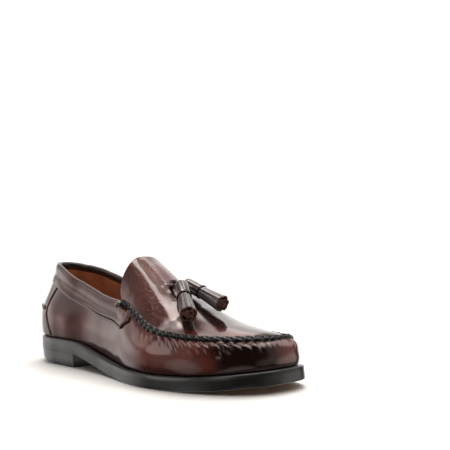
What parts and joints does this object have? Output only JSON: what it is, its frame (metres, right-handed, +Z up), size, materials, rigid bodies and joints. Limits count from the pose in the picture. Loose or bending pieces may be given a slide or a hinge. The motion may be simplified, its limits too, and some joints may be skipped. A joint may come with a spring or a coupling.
{
  "type": "tassel loafer",
  "caption": "Right slip-on moccasin loafer with a raised apron seam, tongue, collar band, heel patch, two tassels and a low heel.",
  "frame": {"origin": "on the ground, at the middle of the heel's top lift", "axes": "+X towards the toe, +Z up, -Y the outer (lateral) side of this right shoe"},
  "size_m": [0.3023, 0.1115, 0.1041],
  "materials": {
    "burgundy_leather": "high-gloss brushed box leather, darker in the shade",
    "sole_black": "black edge-dyed sole leather, satin",
    "lift_rubber": "matte black rubber",
    "insole_tan": "orange-brown lining leather",
    "dark_trim": "dark burgundy leather with black thread",
    "tassel_leather": "glossy burgundy leather with raw cut ends"
  },
  "bodies": {
    "root": {"outsole": "sole_black", "heel_stack": "sole_black", "top_lift": "lift_rubber", "insole": "insole_tan", "upper": "burgundy_leather", "collar_band": "burgundy_leather", "heel_counter": "burgundy_leather", "heel_ridge": "dark_trim", "apron_seam": "dark_trim", "tassel_lateral": "tassel_leather", "tassel_medial": "tassel_leather", "tassel_lace_lateral": "dark_trim", "tassel_lace_medial": "dark_trim"}
  },
  "joints": []
}
